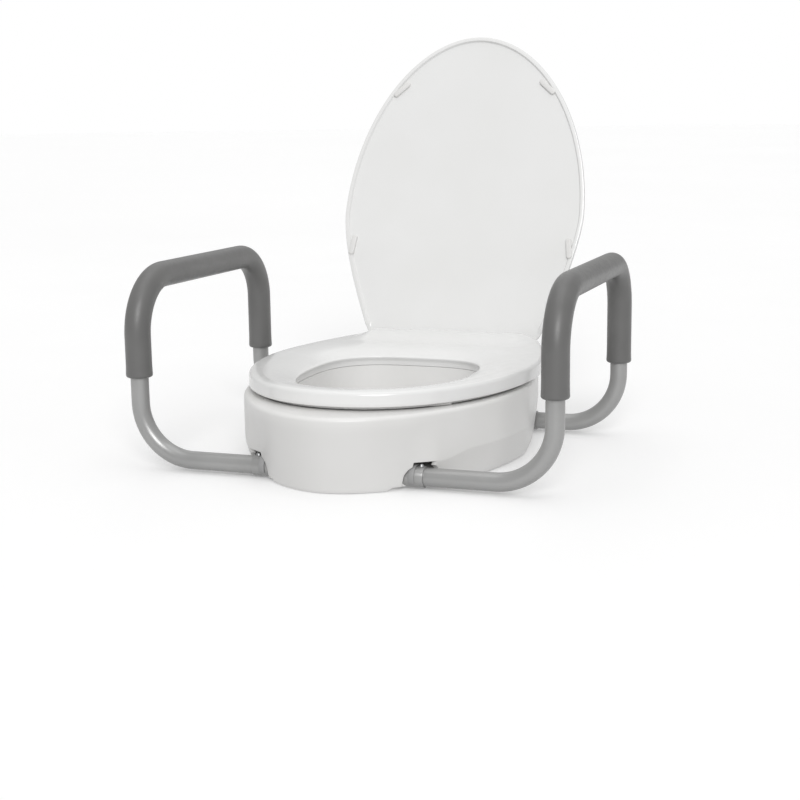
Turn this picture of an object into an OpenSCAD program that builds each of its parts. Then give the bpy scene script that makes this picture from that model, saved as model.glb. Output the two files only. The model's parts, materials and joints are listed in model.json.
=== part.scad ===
// Raised toilet seat: a hollow riser that bolts on a bowl, a seat ring and a lid that share one
// hinge line on its rear deck, and two tube arms with foam grips that push into side sockets.
// Millimetres, +Z up. The front is -Y and the right-hand side, seen from the front, is +X.
// The origin is midway between the two mounting bolts, on the plane of the bowl's rim.

/* [Riser] */
// Half of the riser's widest width
riser_w = 182.5; // [170:0.5:195]
// Distance from the bolt line forward to the riser's front wall
riser_reach = 510; // [500:1:520]
// Height of the deck above the bowl's rim
riser_h = 91; // [88:1:95]
// How far the foot of the wall stands inside its top
wall_draft = 12; // [6:1:14]
// Wall thickness of the casing
wall = 4; // [3:0.5:4.5]

/* [Seat] */
// Half of the seat's widest width
seat_w = 181; // [170:0.5:190]
// Distance from the bolt line forward to the tip of the seat
seat_reach = 470; // [460:1:480]
// Height of the seat's underside
seat_z = 96; // [95:0.5:97]
// Thickness of the seat ring
seat_t = 19; // [17:0.5:19]
// Half of the widest width of the hole in the seat
hole_w = 107; // [95:1:108]
// Height of the hump that the seat's rear forms in front of the lid
hump_h = 5.5; // [3:0.5:6]

/* [Lid] */
// Half of the lid's widest width
lid_w = 180; // [170:0.5:190]
// Distance from the hinge line to the lid's front edge
lid_reach = 451; // [440:1:460]
// Thickness of the lid's panel
lid_t = 4.5; // [3:0.5:6]
// Height of the rim round the lid's underside
lid_rim = 3; // [1:0.5:3.5]
// How far the lid's rear end is raised to clear the seat's hump
lid_rise = 4.5; // [3:0.5:6]
// Angle between the closed lid and the open lid
lid_open = 109.5; // [95:0.5:115]

/* [Hinge] */
// Height of the hinge line
hinge_z = 112; // [111:0.5:113]
// Distance of the hinge line ahead of the bolt line
hinge_ahead = 22; // [20:1:24]
// Radius of a hinge pin
pin_r = 2.5; // [2:0.1:3]
// Distance between the two mounting bolts
bolt_spacing = 140; // [138:1:150]

/* [Arms] */
// Radius of the arm tube
tube_r = 11.1; // [10:0.05:11.5]
// Radius of the foam grip
foam_r = 16; // [14:0.5:18]
// Distance of each vertical leg from the middle
leg_x = 261; // [250:1:275]
// Height of the centre of the tube where it enters the riser
entry_z = 14.5; // [14.5:0.1:15]
// Height of the centre of the armrest
rest_z = 234; // [220:1:260]
// Distance of the front legs ahead of the bolt line
front_leg = 443; // [441:1:444]
// Distance of the rear legs ahead of the bolt line
rear_leg = 94; // [90:1:100]
// Centre-line radius of the bends
bend_r = 69; // [60:1:75]
// Centre-line radius of the bend above each rear leg
rear_bend_r = 60; // [50:1:69]
// How far the tube ends reach into the sockets
grip_depth = 52; // [48:1:52]
// How far a snap button travels when it is pressed
press = 4.5; // [4:0.1:4.5]

/* [Hidden] */
LEFT = -1;
RIGHT = 1;
plastic_white = "#f2f2f0";
rubber_white = "#e8e8e4";
rubber_dark = "#3c3c3e";
steel = "#b9bbbe";
tube_grey = "#a7a9ab";
foam_grey = "#77787a";
collar_grey = "#9a9c9e";

bore_fn = 64;           // round holes, pins and shafts
soft_fn = 20;           // small rounded trim
eps = 0.5;              // how far a cutter runs past the face that it opens
fit = 0.05;             // radial clearance of a running fit
sheet = 0.3;            // thickness of the thinnest layers that a hull joins

hinge_y = -hinge_ahead;
bolt_x = bolt_spacing / 2;

// Outlines in plan. Each has a superellipse front, sides that narrow towards the rear, and
// rounded rear corners: [half width, tip y, widest y, exponent, rear half width, rear y,
// narrowing power, corner radius]
RISER = [riser_w, -riser_reach, -250, 1.85, riser_w - 62.5, 28, 1.25, 35];
SEAT = [seat_w, -seat_reach, -215, 2.11, seat_w - 53, hinge_y + 8, 1.45, 22];
LID = [lid_w, hinge_y - lid_reach, -204, 1.95, lid_w - 54, hinge_y - 1, 1.5, 16];
// Holes in plan: [half width, front y, widest y, rear y, front exponent, rear exponent]
SEAT_HOLE = [hole_w, -417, -262, -152, 2.3, 3];
RISER_HOLE = [hole_w + 5, -423, -262, -146, 2.3, 3];

front_steps = 36;
side_steps = 10;
corner_steps = 5;
hole_steps = 60;

// Riser
crease_z = 40;          // below this height the sides lean in to the foot
foot_z = 1.5;           // lowest edge of the casing
deck_round = 9;         // rounding of the deck's outer edge
base_z = 4;             // underside of the base plate
base_t = 4;             // thickness of the base plate
base_gap = 0.6;         // gap between the base plate and the casing's wall
notch_r = 19;           // half width of the arched notch round each tube
notch_z = 13;           // height of the centre of the notch's arch
notch_in = 26;          // how far the notch cutter reaches in from the tube's mouth
boss_r = 5;
sleeve_r = 9;           // tubular column round each mounting bolt
screw_r = 2;
screw_head_r = 3.6;
screw_gap = 0.05;
base_screw_at = [[0, -472], [128, -340], [139, -230], [118, -132], [98, -42]];
base_screw_len = 14;
base_head_t = 2;
pad_in = wall + 2;      // inner edge of the rim pads, out from the riser's hole
pad_out = pad_in + 14;

// Sockets
socket_bore = tube_r + 0.06;
socket_r = 12.7;
socket_len = grip_depth + 6;
front_mouth = 108;      // x of the mouth of the front sockets
rear_mouth = 150;       // x of the mouth of the rear sockets
button_in = 4.8;        // from a socket's mouth to the centre of its button hole
button_r = 3;
button_hole_r = 3.15;
collar_r = 14.2;
collar_in = 10;         // from a socket's mouth to its collar
collar_w = 7;
saddle_w = 10;
saddle_t = 1.6;
saddle_in = 44;         // from a socket's mouth to the outer edge of its saddle
saddle_foot = 21.5;     // half width over the saddle's feet
saddle_screw_y = 18;

// Mounting bolts, with a thinner free stud where they cross the bowl's flange
shank_r = 4.3;
stud_r = 4;
thread_r = 3.8;
flange_t = 34;          // room for the bowl's flange and the top of the bushing
bolt_end = 66;          // how far the bolt reaches below the rim plane
bolt_head_r = 7.5;
bolt_head_t = 4.5;
bolt_hole_r = 4.6;

// Hinge, in x from the middle of each post
post_w = 12;
post_base_w = 30;
post_base_t = 3;
knuckle_r = 5.5;
lid_ear = [6.5, 13];    // inner and outer face of each lid ear, from the post's middle
seat_slot = 13.5;       // half width of the slot in the seat round the post and the lid's ears
seat_ear = 26;          // outer face of each seat ear
seat_knuckle_r = 4.8;
pin_half = 25;
slot_depth = 7;         // from the hinge line forward
cap_r = 12;
cap_h = 9;
cap_t = 1.5;
peg_r = 3;

hump_foot = [126, -100];    // half width of the hump and its front edge at its foot
hump_top = [112, -45];      // and at its top
hump_root = 4;          // how deep the hump's foot lies in the seat

lid_under = 7.5;        // underside of the closed lid above the hinge line
lid_bend = [-110, -40]; // y from where to where the lid rises towards its rear end
lid_bumper_gap = 0.3;
lid_bumper = [30, 8];   // length and width
lid_bumper_at = [[111, -395, 42], [163, -157, 82]];   // x, y and turn of each bumper
seat_bumper_at = [[112, -400, 40], [150, -160, 80]];
seat_bumper_gap = 0.3;

// Arm
tube_wall = 1.5;
foam_bore = tube_r + 0.1;
foam_front_z = 113.5;   // lower end of the foam on the front leg
foam_rear_z = 99.4;     // lower end of the foam on the rear leg
plug_len = 10;
plug_flange = 1.5;
button_top = entry_z + tube_r + press - 0.1;    // pressed in, it lies just under the tube's surface
button_flange_r = 4.2;
button_flange = [20.4, 22.6];
spring_w = 5;
spring_t = 0.8;
spring_foot = 12;

function inset(e, d) =
    [e[0] - d, e[1] + d, e[2], e[3], e[4] - d, e[5] - d, e[6], max(e[7] - d, 4)];
function side_x(e, y) =
    e[0] - (e[0] - e[4]) * pow(max(y - e[2], 0) / (e[5] - e[2]), e[6]);
function rear_slope(e) = atan((e[0] - e[4]) * e[6] / (e[5] - e[2]));
function corner_y(e) = e[5] - e[7] + e[7] * sin(rear_slope(e));
function side_points(e) = [for (i = [0:side_steps])
    let (y = e[2] + (corner_y(e) - e[2]) * i / side_steps) [side_x(e, y), y]];
function corner_points(e) = let (a0 = rear_slope(e), x0 = side_x(e, corner_y(e)))
    [for (i = [1:corner_steps]) let (a = a0 + (90 - a0) * i / corner_steps)
        [x0 + e[7] * (cos(a) - cos(a0)), corner_y(e) + e[7] * (sin(a) - sin(a0))]];
function front_points(e) = [for (i = [1:front_steps - 1]) let (t = 180 * i / front_steps)
    [-sign(cos(t)) * e[0] * pow(abs(cos(t)), 2 / e[3]),
        e[2] + (e[1] - e[2]) * pow(sin(t), 2 / e[3])]];
function mirrored(p) = [for (i = [len(p) - 1:-1:0]) [-p[i][0], p[i][1]]];
function outline(e) = let (half = concat(side_points(e), corner_points(e)))
    concat(half, mirrored(half), front_points(e));
function hole_outline(h, d = 0) = [for (i = [0:hole_steps - 1])
    let (t = 360 * i / hole_steps, n = sin(t) > 0 ? h[5] : h[4])
    [sign(cos(t)) * (h[0] + d) * pow(abs(cos(t)), 2 / n),
        h[2] + (sin(t) > 0 ? h[3] + d - h[2] : h[2] - h[1] + d)
            * sign(sin(t)) * pow(abs(sin(t)), 2 / n)]];

module on_side(side) {
    if (side > 0) children();
    else mirror([1, 0, 0]) children();
}

module both_sides() {
    on_side(LEFT) children();
    on_side(RIGHT) children();
}

// A layer of an outline from z0 to z1, drawn in by d, for a hull to join to others
module layer(e, z0, z1, d) {
    prism(outline(inset(e, d)), z0, z1);
}

module prism(points, z0, z1) {
    translate([0, 0, z0]) linear_extrude(z1 - z0) polygon(points);
}

// A cylinder along X from x0 to x1
module rod_x(r, x0, x1) {
    translate([x0, 0, 0]) rotate([0, 90, 0]) cylinder(r = r, h = x1 - x0, $fn = bore_fn);
}

module screws_at_base() {
    for (p = base_screw_at) {
        translate([p[0], p[1], 0]) children();
        if (p[0] > 0) translate([-p[0], p[1], 0]) children();
    }
}

// Riser -------------------------------------------------------------------------------------

module riser_outside() {
    hull() {
        layer(RISER, foot_z, foot_z + sheet, wall_draft);
        layer(RISER, crease_z, riser_h - deck_round, 0);
        layer(RISER, riser_h - 0.3 * deck_round, riser_h - 0.3 * deck_round + sheet, 0.3 * deck_round);
        layer(RISER, riser_h - sheet, riser_h, deck_round);
    }
}

module riser_inside() {
    hull() {
        layer(RISER, -eps, 0, wall_draft + wall);
        layer(RISER, crease_z, riser_h - deck_round, wall);
        layer(RISER, riser_h - wall - sheet, riser_h - wall, deck_round);
    }
}

// The arched notch that clears a tube, cut through the wall beside the socket's mouth
module notch(mouth) {
    translate([0, 0, notch_z]) rod_x(notch_r, mouth - notch_in, mouth + notch_in);
    translate([mouth - notch_in, -notch_r, -notch_z]) cube([2 * notch_in, 2 * notch_r, 2 * notch_z]);
}

module riser_shell() {
    color(plastic_white) difference() {
        union() {
            difference() {
                riser_outside();
                difference() {
                    riser_inside();
                    prism(hole_outline(RISER_HOLE, wall), -2 * eps, riser_h);
                }
            }
            intersection() {
                union() {
                    screws_at_base() translate([0, 0, base_z + base_t + screw_gap])
                        cylinder(r = boss_r, h = riser_h - base_z - base_t - wall / 2, $fn = bore_fn);
                    both_sides() translate([bolt_x, 0, base_z + base_t + screw_gap])
                        cylinder(r = sleeve_r, h = riser_h - base_z - base_t - wall / 2, $fn = bore_fn);
                }
                translate([0, 0, riser_h / 2])
                    cube([2 * riser_w, 4 * riser_w, riser_h - wall], center = true);
            }
        }
        prism(hole_outline(RISER_HOLE), -eps, riser_h + eps);
        both_sides() {
            translate([0, -front_leg, 0]) notch(front_mouth);
            translate([0, -rear_leg, 0]) notch(rear_mouth);
            translate([bolt_x, 0, -eps]) cylinder(r = bolt_hole_r, h = riser_h + 2 * eps, $fn = bore_fn);
            translate([bolt_x, hinge_y - 9, riser_h - 2 * wall])
                cylinder(r = peg_r + fit, h = 3 * wall, $fn = bore_fn);
        }
        screws_at_base() translate([0, 0, base_z])
            cylinder(r = screw_r + screw_gap, h = base_screw_len + base_t + 2, $fn = bore_fn);
    }
}

// The channel that a socket lies in, cut in the base plate
module socket_channel(mouth) {
    translate([0, 0, entry_z]) rod_x(socket_r + fit, mouth - socket_len - 6, mouth + notch_in);
}

module riser_base() {
    edge = wall_draft + wall + base_gap;
    color(plastic_white) difference() {
        prism(outline(inset(RISER, edge)), base_z, base_z + base_t);
        prism(hole_outline(RISER_HOLE, wall + base_gap), 0, 3 * base_t);
        both_sides() {
            translate([0, -front_leg, 0]) socket_channel(front_mouth);
            translate([0, -rear_leg, 0]) socket_channel(rear_mouth);
            translate([bolt_x, 0, 0]) cylinder(r = bolt_hole_r, h = 3 * base_t, $fn = bore_fn);
            for (at = saddle_screws_at()) translate([at[0], at[1], 0])
                cylinder(r = screw_r + screw_gap, h = 3 * base_t, $fn = bore_fn);
        }
        screws_at_base() cylinder(r = screw_r + screw_gap, h = 3 * base_t, $fn = bore_fn);
    }
}

// Four rubber pads in a ring under the base plate
module rim_pads() {
    color(rubber_dark) intersection() {
        difference() {
            prism(hole_outline(RISER_HOLE, pad_out), 0, base_z);
            prism(hole_outline(RISER_HOLE, pad_in), -eps, base_z + eps);
        }
        union() {
            translate([-40, -riser_reach, -eps]) cube([80, 100, 2 * base_z]);
            translate([-45, -150, -eps]) cube([90, 40, 2 * base_z]);
            both_sides() translate([80, -395, -eps]) cube([80, 270, 2 * base_z]);
        }
    }
}

module base_screws() {
    color(steel) screws_at_base() {
        translate([0, 0, base_z - base_head_t])
            cylinder(r = screw_head_r, h = base_head_t, $fn = bore_fn);
        translate([0, 0, base_z]) cylinder(r = screw_r, h = base_screw_len, $fn = bore_fn);
    }
}

// Sockets -----------------------------------------------------------------------------------

module at_entry(side, leg) {
    on_side(side) translate([0, -leg, entry_z]) children();
}

module socket(side, leg, mouth) {
    color(steel) at_entry(side, leg) difference() {
        rod_x(socket_r, mouth - socket_len, mouth);
        rod_x(socket_bore, mouth - socket_len - eps, mouth + eps);
        translate([mouth - button_in, 0, 0]) cylinder(r = button_hole_r, h = 2 * socket_r, $fn = bore_fn);
    }
}

module collar(side, leg, mouth) {
    color(collar_grey) at_entry(side, leg) difference() {
        rod_x(collar_r, mouth - collar_in - collar_w, mouth - collar_in);
        rod_x(socket_r + fit, mouth - collar_in - collar_w - eps, mouth - collar_in + eps);
        // a flat where the collar stands on the base plate
        translate([0, -collar_r, base_z + base_t - entry_z - collar_r]) cube([mouth, 2 * collar_r, collar_r]);
    }
}

function saddle_screws_at() = [for (p = [[front_mouth, front_leg], [rear_mouth, rear_leg]],
    s = [-1, 1]) [p[0] - saddle_in - saddle_w / 2, -p[1] + s * saddle_screw_y]];

// A strap over a socket, with a foot on each side that is screwed to the base plate
module saddle(side, leg, mouth) {
    foot_z = base_z + base_t - entry_z;
    x0 = mouth - saddle_in - saddle_w;
    color(steel) at_entry(side, leg) difference() {
        union() {
            difference() {
                rod_x(socket_r + fit + saddle_t, x0, x0 + saddle_w);
                translate([0, -2 * socket_r, foot_z - 4 * socket_r]) cube([mouth, 4 * socket_r, 4 * socket_r]);
            }
            translate([x0, -saddle_foot, foot_z]) cube([saddle_w, 2 * saddle_foot, saddle_t]);
        }
        rod_x(socket_r + fit, x0 - eps, x0 + saddle_w + eps);
        for (s = [-1, 1]) translate([x0 + saddle_w / 2, s * saddle_screw_y, foot_z - eps])
            cylinder(r = screw_r + screw_gap, h = 4 * saddle_t, $fn = bore_fn);
    }
}

module saddle_screws() {
    top = base_z + base_t + saddle_t;
    color(steel) both_sides() for (at = saddle_screws_at()) translate([at[0], at[1], 0]) {
        translate([0, 0, base_z]) cylinder(r = screw_r, h = top - base_z, $fn = bore_fn);
        translate([0, 0, top]) cylinder(r = screw_head_r - 0.3, h = 2, $fn = bore_fn);
    }
}

// Mounting hardware --------------------------------------------------------------------------

module mounting_bolts() {
    color(steel) both_sides() translate([bolt_x, 0, 0]) {
        translate([0, 0, riser_h + post_base_t]) cylinder(r = bolt_head_r, h = bolt_head_t, $fn = 6);
        cylinder(r = shank_r, h = riser_h + post_base_t, $fn = bore_fn);
        translate([0, 0, -flange_t]) cylinder(r = stud_r, h = flange_t, $fn = bore_fn);
        translate([0, 0, -bolt_end]) cylinder(r = thread_r, h = bolt_end - flange_t, $fn = bore_fn);
    }
}

module cone_bushings() {
    color(rubber_dark) both_sides() translate([bolt_x, 0, -flange_t - 12.4]) difference() {
        union() {
            cylinder(r = 13, h = 4, $fn = bore_fn);
            translate([0, 0, 4]) cylinder(r1 = 13, r2 = 7, h = 8, $fn = bore_fn);
        }
        translate([0, 0, -eps]) cylinder(r = thread_r + 0.4, h = 14, $fn = bore_fn);
    }
}

module bowl_washers() {
    color(steel) both_sides() translate([bolt_x, 0, -flange_t - 14]) difference() {
        cylinder(r = 12, h = 1.5, $fn = bore_fn);
        translate([0, 0, -eps]) cylinder(r = thread_r + 0.4, h = 3, $fn = bore_fn);
    }
}

module wing_nuts() {
    color(rubber_white) both_sides() translate([bolt_x, 0, -flange_t - 26.1]) difference() {
        union() {
            cylinder(r = 8, h = 12, $fn = bore_fn);
            for (s = [-1, 1]) hull() {
                translate([s * 7, 0, 2]) cylinder(r = 1.8, h = 8, $fn = soft_fn);
                translate([s * 18, 0, 0]) cylinder(r = 1.8, h = 8, $fn = soft_fn);
            }
        }
        translate([0, 0, -eps]) cylinder(r = thread_r + fit, h = 14, $fn = bore_fn);
    }
}

// Hinge ---------------------------------------------------------------------------------------

module at_hinge() {
    translate([0, hinge_y, hinge_z]) children();
}

module hinge_post(side) {
    color(plastic_white) on_side(side) translate([bolt_x, 0, 0]) difference() {
        union() {
            translate([-post_base_w / 2, hinge_y - 15, riser_h])
                cube([post_base_w, 15 - hinge_y, post_base_t]);
            translate([0, 0, riser_h]) cylinder(r = post_base_w / 2, h = post_base_t, $fn = bore_fn);
            translate([-post_w / 2, hinge_y - knuckle_r, riser_h])
                cube([post_w, 2 * knuckle_r, hinge_z - riser_h]);
            at_hinge() rod_x(knuckle_r, -post_w / 2, post_w / 2);
            translate([0, hinge_y - 9, riser_h - wall]) cylinder(r = peg_r, h = wall + 1, $fn = bore_fn);
        }
        translate([0, 0, riser_h - eps]) cylinder(r = bolt_hole_r, h = post_base_t + 2 * eps, $fn = bore_fn);
        at_hinge() rod_x(pin_r + fit, -post_w, post_w);
    }
}

module bolt_cap(side) {
    z = riser_h + post_base_t;
    color(plastic_white) on_side(side) translate([bolt_x, 0, z]) difference() {
        union() {
            cylinder(r = cap_r, h = cap_h - 2, $fn = bore_fn);
            translate([0, 0, cap_h - 2]) cylinder(r1 = cap_r, r2 = cap_r - 2, h = 2, $fn = bore_fn);
        }
        translate([0, 0, -eps]) cylinder(r = cap_r - cap_t - 1, h = cap_h - cap_t + eps, $fn = bore_fn);
    }
}

module hinge_pin(side) {
    color(steel) on_side(side) translate([bolt_x, 0, 0]) at_hinge() rod_x(pin_r, -pin_half, pin_half);
}

// Seat ----------------------------------------------------------------------------------------

module seat_outside() {
    top = seat_z + seat_t;
    hull() {
        layer(SEAT, seat_z, seat_z + sheet, 4);
        layer(SEAT, seat_z + 4, top - 8, 0);
        layer(SEAT, top - 2.5, top - 2.5 + sheet, 2.5);
        layer(SEAT, top - sheet, top, 9);
    }
}

// The raised rear of the seat, a low ramp that ends in front of the open lid
module seat_hump() {
    top = seat_z + seat_t;
    rear = SEAT[5];
    intersection() {
        prism(outline(inset(SEAT, 2)), top - 2 * hump_root, top + 2 * hump_h);
        hull() {
            translate([-hump_foot[0], hump_foot[1], top - hump_root])
                cube([2 * hump_foot[0], rear - hump_foot[1], sheet]);
            translate([-hump_top[0], hump_top[1], top + hump_h - sheet])
                cube([2 * hump_top[0], rear - 2.5 - hump_top[1], sheet]);
        }
    }
}

module seat_ring() {
    top = seat_z + seat_t;
    color(plastic_white) difference() {
        union() {
            difference() {
                union() {
                    seat_outside();
                    seat_hump();
                }
                // slots for the hinge posts and the lid's ears
                both_sides() translate([bolt_x - seat_slot, hinge_y - slot_depth, seat_z - eps])
                    cube([2 * seat_slot, 3 * slot_depth, seat_t + 2 * hump_h]);
            }
            both_sides() translate([bolt_x, 0, 0]) at_hinge() for (s = [-1, 1])
                rod_x(seat_knuckle_r, s > 0 ? seat_slot : -seat_ear, s > 0 ? seat_ear : -seat_slot);
        }
        prism(hole_outline(SEAT_HOLE), seat_z - eps, top - 2);
        // the ring's inner side, which slopes down into the hole
        hull() {
            prism(hole_outline(SEAT_HOLE, -8), seat_z + 4, seat_z + 4 + sheet);
            prism(hole_outline(SEAT_HOLE, 5), top - 4, top - 4 + sheet);
            prism(hole_outline(SEAT_HOLE, 20), top + 1, top + 1 + sheet);
        }
        both_sides() translate([bolt_x, 0, 0]) at_hinge() rod_x(pin_r + fit, -seat_ear - 1, seat_ear + 1);
    }
}

// A rounded bar that is longer than it is wide
module bar(length, width, h) {
    hull() for (s = [-1, 1]) translate([s * (length - width) / 2, 0, 0])
        cylinder(r = width / 2, h = h, $fn = soft_fn);
}

module seat_bumpers() {
    color(rubber_white) both_sides() for (b = seat_bumper_at)
        translate([b[0], b[1], riser_h + seat_bumper_gap]) rotate(b[2])
            bar(30, 11, seat_z - riser_h - seat_bumper_gap);
}

// Lid -----------------------------------------------------------------------------------------

// Turns a closed lid to its open place
module opened() {
    translate([0, hinge_y, hinge_z]) rotate([-lid_open, 0, 0]) translate([0, -hinge_y, -hinge_z])
        children();
}

// The part of its children that lies from z0 to z1 above the closed lid's underside
module lid_layer(z0, z1) {
    low = hinge_z + lid_under;
    high = low + lid_rise;
    intersection() {
        children();
        rotate([90, 0, 90]) linear_extrude(2 * lid_w + 2, center = true)
            polygon([[-2 * lid_reach, low + z0], [lid_bend[0], low + z0], [lid_bend[1], high + z0],
                [0, high + z0], [0, high + z1], [lid_bend[1], high + z1], [lid_bend[0], low + z1],
                [-2 * lid_reach, low + z1]]);
    }
}

module lid_panel() {
    low = hinge_z;
    high = hinge_z + 2 * lid_under + lid_t;
    color(plastic_white) opened() difference() {
        union() {
            lid_layer(0, lid_t) prism(outline(LID), low, high);
            lid_layer(-lid_rim, 1) difference() {
                prism(outline(inset(LID, 0.4)), low, high);
                prism(outline(inset(LID, 5)), low - eps, high + eps);
                translate([-lid_w, hinge_y - 14, low - eps]) cube([2 * lid_w, 20, high - low + 1]);
                // gaps in the rim for the bumpers
                at_lid_bumpers() translate([0, 0, hinge_z + lid_under - lid_rim])
                    cube([lid_bumper[0] + 1, lid_bumper[1] + 1, 2 * lid_rim], center = true);
            }
            // ears on each side of the hinge posts
            both_sides() for (s = [-1, 1]) translate([bolt_x + s * (lid_ear[0] + lid_ear[1]) / 2, 0, 0])
                lid_ear_plate(lid_ear[1] - lid_ear[0]);
        }
        both_sides() translate([bolt_x, 0, 0]) at_hinge() rod_x(pin_r + fit, -seat_slot, seat_slot);
    }
}

module at_lid_bumpers() {
    both_sides() for (b = lid_bumper_at) translate([b[0], b[1], 0]) rotate(b[2]) children();
}

module lid_ear_plate(w) {
    at_hinge() {
        rod_x(knuckle_r, -w / 2, w / 2);
        translate([-w / 2, 0.5 - knuckle_r, 0]) cube([w, knuckle_r + 1, lid_under + lid_rise + 1]);
    }
}

module lid_bumpers() {
    under = hinge_z + lid_under;
    gap_z = seat_z + seat_t + lid_bumper_gap;
    color(rubber_white) opened() at_lid_bumpers()
        translate([0, 0, gap_z]) bar(lid_bumper[0], lid_bumper[1], under - gap_z);
}

// Arms ----------------------------------------------------------------------------------------

front_end = front_mouth - grip_depth;
rear_end = rear_mouth - grip_depth;

// The leg's lateral run, its lower bend and its straight up to z1, in the plane of the leg
module leg_path(r, x0, z1, z_cut = -1) {
    straight_z = entry_z + bend_r;
    if (z_cut < 0) {
        translate([0, 0, entry_z]) rod_x(r, x0, leg_x - bend_r);
        translate([leg_x - bend_r, 0, straight_z]) rotate([90, 0, 0])
            rotate([0, 0, -90]) rotate_extrude(angle = 90, $fn = bore_fn * 2)
                translate([bend_r, 0]) circle(r = r, $fn = bore_fn);
    }
    translate([leg_x, 0, max(straight_z, z_cut)])
        cylinder(r = r, h = z1 - max(straight_z, z_cut), $fn = bore_fn);
}

// The armrest's straight run and its two bends, in the plane x = leg_x
module rest_path(r) {
    translate([leg_x, -front_leg + bend_r, rest_z]) rotate([-90, 0, 0])
        cylinder(r = r, h = front_leg - rear_leg - bend_r - rear_bend_r, $fn = bore_fn);
    translate([leg_x, -front_leg + bend_r, rest_z - bend_r]) rotate([90, 0, 90])
        rotate([0, 0, 90]) rotate_extrude(angle = 90, $fn = bore_fn * 2)
            translate([bend_r, 0]) circle(r = r, $fn = bore_fn);
    translate([leg_x, -rear_leg - rear_bend_r, rest_z - rear_bend_r]) rotate([90, 0, 90])
        rotate_extrude(angle = 90, $fn = bore_fn * 2)
            translate([rear_bend_r, 0]) circle(r = r, $fn = bore_fn);
}

module arm_path(r, over = 0) {
    rest_path(r);
    translate([0, -front_leg, 0]) leg_path(r, front_end - over, rest_z - bend_r);
    translate([0, -rear_leg, 0]) leg_path(r, rear_end - over, rest_z - rear_bend_r);
}

module grip_path(r, over = 0) {
    rest_path(r);
    translate([0, -front_leg, 0]) leg_path(r, 0, rest_z - bend_r, foam_front_z - over);
    translate([0, -rear_leg, 0]) leg_path(r, 0, rest_z - rear_bend_r, foam_rear_z - over);
}

module arm_tube(side) {
    color(tube_grey) on_side(side) difference() {
        arm_path(tube_r);
        arm_path(tube_r - tube_wall, eps);
        for (p = [[front_mouth, front_leg], [rear_mouth, rear_leg]])
            translate([p[0] - button_in, -p[1], entry_z])
                cylinder(r = button_r + fit, h = 2 * tube_r, $fn = bore_fn);
    }
}

module foam_grip(side) {
    color(foam_grey) on_side(side) difference() {
        grip_path(foam_r);
        grip_path(foam_bore, eps);
    }
}

module tube_plugs(side) {
    color(rubber_dark) for (p = [[front_end, front_leg], [rear_end, rear_leg]])
        at_entry(side, p[1]) {
            rod_x(tube_r - 0.1, p[0] - plug_flange, p[0]);
            rod_x(tube_r - tube_wall - 0.1, p[0], p[0] + plug_len);
        }
}

// A bent leaf inside the tube that pushes a button up
module button_spring(side, leg, mouth) {
    x = mouth - button_in;
    low = entry_z - tube_r + tube_wall + 0.4;
    color(steel) on_side(side) translate([x, -leg - spring_w / 2, 0]) {
        rotate([90, 0, 0]) translate([0, 0, -spring_w]) linear_extrude(spring_w)
            polygon([[-spring_foot, low], [spring_foot / 2, low], [spring_foot / 2, low + spring_t],
                [2 - spring_foot, low + spring_t], [0, button_flange[0] - spring_t - 0.1],
                [3, button_flange[0] - spring_t - 0.1], [3, button_flange[0] - 0.1],
                [-1, button_flange[0] - 0.1], [-spring_foot, low + spring_t]]);
    }
}

module snap_button(side, leg, mouth) {
    color(steel) on_side(side) translate([mouth - button_in, -leg, 0]) {
        translate([0, 0, button_flange[0]])
            cylinder(r = button_r, h = button_top - 1.5 - button_flange[0], $fn = bore_fn);
        translate([0, 0, button_top - 1.5])
            cylinder(r1 = button_r, r2 = button_r - 1, h = 1.5, $fn = bore_fn);
        translate([0, 0, button_flange[0]])
            cylinder(r = button_flange_r, h = button_flange[1] - button_flange[0], $fn = bore_fn);
    }
}

riser_shell();
riser_base();
rim_pads();
base_screws();
socket(LEFT, front_leg, front_mouth);  // front_socket_left
socket(RIGHT, front_leg, front_mouth);  // front_socket_right
socket(LEFT, rear_leg, rear_mouth);  // rear_socket_left
socket(RIGHT, rear_leg, rear_mouth);  // rear_socket_right
collar(LEFT, front_leg, front_mouth);  // front_collar_left
collar(RIGHT, front_leg, front_mouth);  // front_collar_right
collar(LEFT, rear_leg, rear_mouth);  // rear_collar_left
collar(RIGHT, rear_leg, rear_mouth);  // rear_collar_right
saddle(LEFT, front_leg, front_mouth);  // front_saddle_left
saddle(RIGHT, front_leg, front_mouth);  // front_saddle_right
saddle(LEFT, rear_leg, rear_mouth);  // rear_saddle_left
saddle(RIGHT, rear_leg, rear_mouth);  // rear_saddle_right
saddle_screws();
mounting_bolts();
cone_bushings();
bowl_washers();
wing_nuts();
hinge_post(LEFT);  // hinge_post_left
hinge_post(RIGHT);  // hinge_post_right
bolt_cap(LEFT);  // bolt_cap_left
bolt_cap(RIGHT);  // bolt_cap_right
hinge_pin(LEFT);  // hinge_pin_left
hinge_pin(RIGHT);  // hinge_pin_right
seat_ring();
seat_bumpers();
lid_panel();
lid_bumpers();
arm_tube(LEFT);  // arm_tube_left
arm_tube(RIGHT);  // arm_tube_right
foam_grip(LEFT);  // foam_grip_left
foam_grip(RIGHT);  // foam_grip_right
tube_plugs(LEFT);  // tube_plugs_left
tube_plugs(RIGHT);  // tube_plugs_right
button_spring(LEFT, front_leg, front_mouth);  // front_spring_left
button_spring(RIGHT, front_leg, front_mouth);  // front_spring_right
button_spring(LEFT, rear_leg, rear_mouth);  // rear_spring_left
button_spring(RIGHT, rear_leg, rear_mouth);  // rear_spring_right
snap_button(LEFT, front_leg, front_mouth);  // front_button_left
snap_button(RIGHT, front_leg, front_mouth);  // front_button_right
snap_button(LEFT, rear_leg, rear_mouth);  // rear_button_left
snap_button(RIGHT, rear_leg, rear_mouth);  // rear_button_right
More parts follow.
